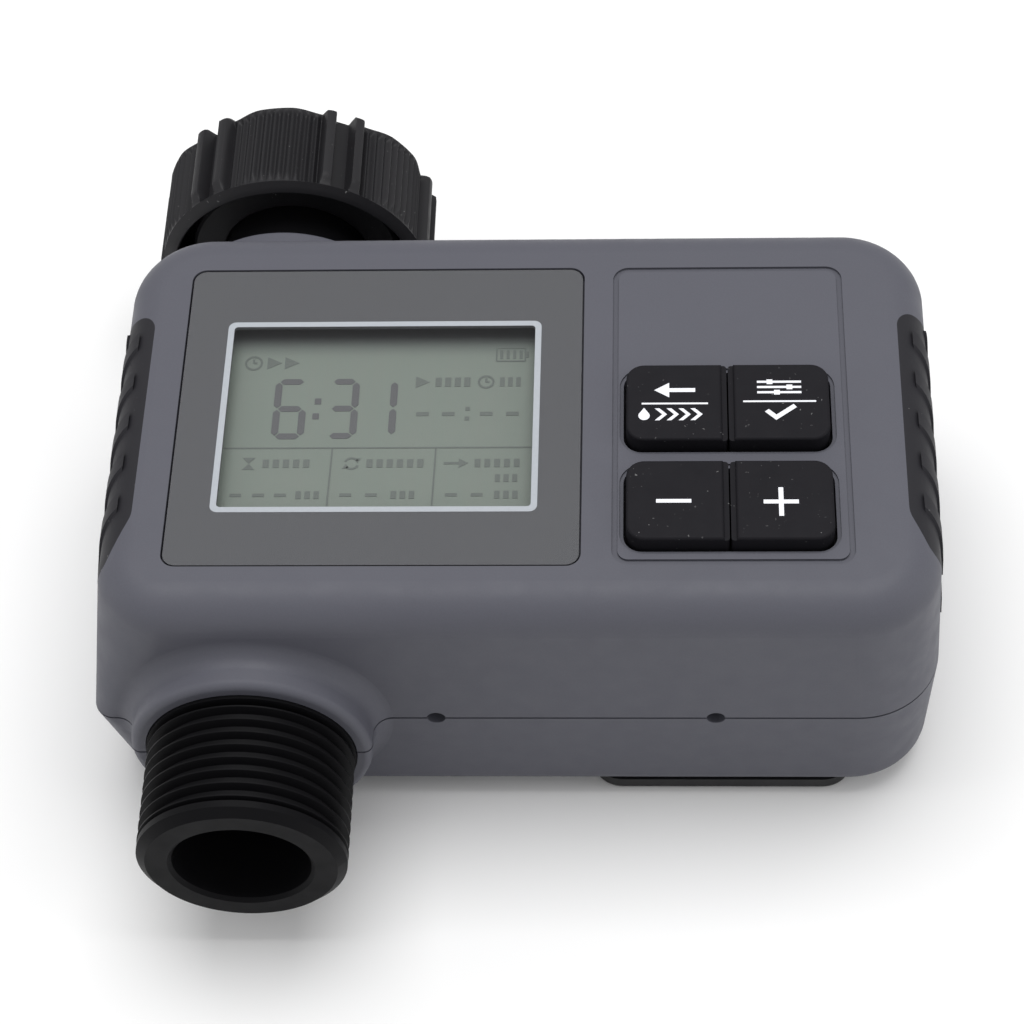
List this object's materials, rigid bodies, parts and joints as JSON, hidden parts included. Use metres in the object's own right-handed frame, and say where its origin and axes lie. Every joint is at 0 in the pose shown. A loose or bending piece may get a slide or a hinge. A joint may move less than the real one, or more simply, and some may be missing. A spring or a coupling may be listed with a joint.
{
  "type": "drip irrigation timer",
  "caption": "Battery water timer: threaded tap nut, motor-driven ball valve and hose thread in a box body with a display and rubber keys.",
  "frame": {"origin": "middle of the overall box in X and Y, on the plane it lies on", "axes": "+X to the right of the display, +Y along the water way towards the tap nut, +Z out of the display"},
  "size_m": [0.109, 0.1112, 0.0451],
  "materials": {
    "grey_plastic": "fine matt texture, satin",
    "black_plastic": "moulded, satin",
    "black_rubber": "matt",
    "grip_rubber": "matt, soft touch",
    "clear_window": "clear moulded plastic",
    "grey_print": "printed film",
    "lcd": "liquid crystal glass",
    "white_plastic": "natural nylon",
    "seal_rubber": "matt",
    "board_green": "solder mask",
    "chip_black": "moulded epoxy",
    "acetal": "natural acetal",
    "ptfe": "PTFE",
    "steel": "zinc plated",
    "stainless": "woven mesh",
    "brass_part": "turned",
    "cell_wrap": "printed sleeve",
    "wire_red": "insulation",
    "conductive_rubber": "layered silicone"
  },
  "bodies": {
    "housing": {"front_shell": "grey_plastic", "rear_shell": "grey_plastic", "shell_seal": "seal_rubber", "shell_screws": "steel", "left_grip": "grip_rubber", "right_grip": "grip_rubber", "display_window": "clear_window", "window_mask": "grey_print", "lcd_panel": "lcd", "lcd_holder": "white_plastic", "lcd_connectors": "conductive_rubber", "circuit_board": "board_green", "board_screws": "steel", "driver_chips": "chip_black", "keypad_mat": "black_rubber", "tact_switches": "chip_black", "valve_body": "black_plastic", "outlet_seat": "ptfe", "inlet_seat": "ptfe", "stem_seal": "seal_rubber", "inlet_tube": "black_plastic", "inlet_o_ring": "seal_rubber", "filter_screen": "stainless", "inlet_washer": "seal_rubber", "gearbox_base": "white_plastic", "gearbox_cover": "white_plastic", "gearbox_screws": "steel", "gear_pins": "steel", "motor": "steel", "motor_leads": "wire_red", "battery_leads": "wire_red", "battery_box": "black_plastic", "battery_cell_a": "cell_wrap", "battery_cell_b": "cell_wrap", "battery_contacts": "steel"},
    "tap_nut": {"inlet_nut": "black_plastic"},
    "ball_group": {"valve_ball": "acetal", "ball_stem": "steel", "output_gear": "acetal"},
    "second_gear_group": {"second_gear": "acetal"},
    "first_gear_group": {"first_gear": "acetal"},
    "motor_rotor": {"motor_shaft": "steel", "motor_pinion": "brass_part"},
    "battery_door": {"battery_cover": "black_plastic", "battery_seal": "seal_rubber"},
    "key_back_group": {"key_back": "black_rubber", "key_back_plunger": "white_plastic"},
    "key_set_group": {"key_set": "black_rubber", "key_set_plunger": "white_plastic"},
    "key_minus_group": {"key_minus": "black_rubber", "key_minus_plunger": "white_plastic"},
    "key_plus_group": {"key_plus": "black_rubber", "key_plus_plunger": "white_plastic"}
  },
  "joints": [
    {"name": "tap_nut_spin", "type": "hinge", "parent": "housing", "child": "tap_nut", "pos_m": [-0.03354, 0.0488, 0.0197], "axis": [0, 1, 0], "continuous": true},
    {"name": "ball_turn", "type": "hinge", "parent": "housing", "child": "ball_group", "pos_m": [-0.03354, -0.004, 0.0197], "axis": [1, 0, 0], "range_deg": [0, 90]},
    {"name": "second_gear_turn", "type": "hinge", "parent": "housing", "child": "second_gear_group", "pos_m": [-0.009, 0.00995, 0.02092], "axis": [1, 0, 0], "range_deg": [-331, 1]},
    {"name": "first_gear_turn", "type": "hinge", "parent": "housing", "child": "first_gear_group", "pos_m": [-0.007, -0.00242, 0.0169], "axis": [1, 0, 0], "range_deg": [-1, 1101]},
    {"name": "motor_turn", "type": "hinge", "parent": "housing", "child": "motor_rotor", "pos_m": [0, 0.00656, 0.0256], "axis": [1, 0, 0], "range_deg": [-4401, 1]},
    {"name": "battery_cover_off", "type": "slide", "parent": "housing", "child": "battery_door", "axis": [0, 0, -1], "range_m": [0, 0.03]},
    {"name": "key_back_press", "type": "slide", "parent": "housing", "child": "key_back_group", "axis": [0, 0, -1], "range_m": [0, 0.0008], "stiffness_N_per_m": 2000, "springref_m": -0.0003},
    {"name": "key_set_press", "type": "slide", "parent": "housing", "child": "key_set_group", "axis": [0, 0, -1], "range_m": [0, 0.0008], "stiffness_N_per_m": 2000, "springref_m": -0.0003},
    {"name": "key_minus_press", "type": "slide", "parent": "housing", "child": "key_minus_group", "axis": [0, 0, -1], "range_m": [0, 0.0008], "stiffness_N_per_m": 2000, "springref_m": -0.0003},
    {"name": "key_plus_press", "type": "slide", "parent": "housing", "child": "key_plus_group", "axis": [0, 0, -1], "range_m": [0, 0.0008], "stiffness_N_per_m": 2000, "springref_m": -0.0003}
  ],
  "couplings": [
    {"joint": "second_gear_turn", "follows": "ball_turn", "ratio": -3.6667},
    {"joint": "first_gear_turn", "follows": "ball_turn", "ratio": 12.222},
    {"joint": "motor_turn", "follows": "ball_turn", "ratio": -48.889}
  ]
}
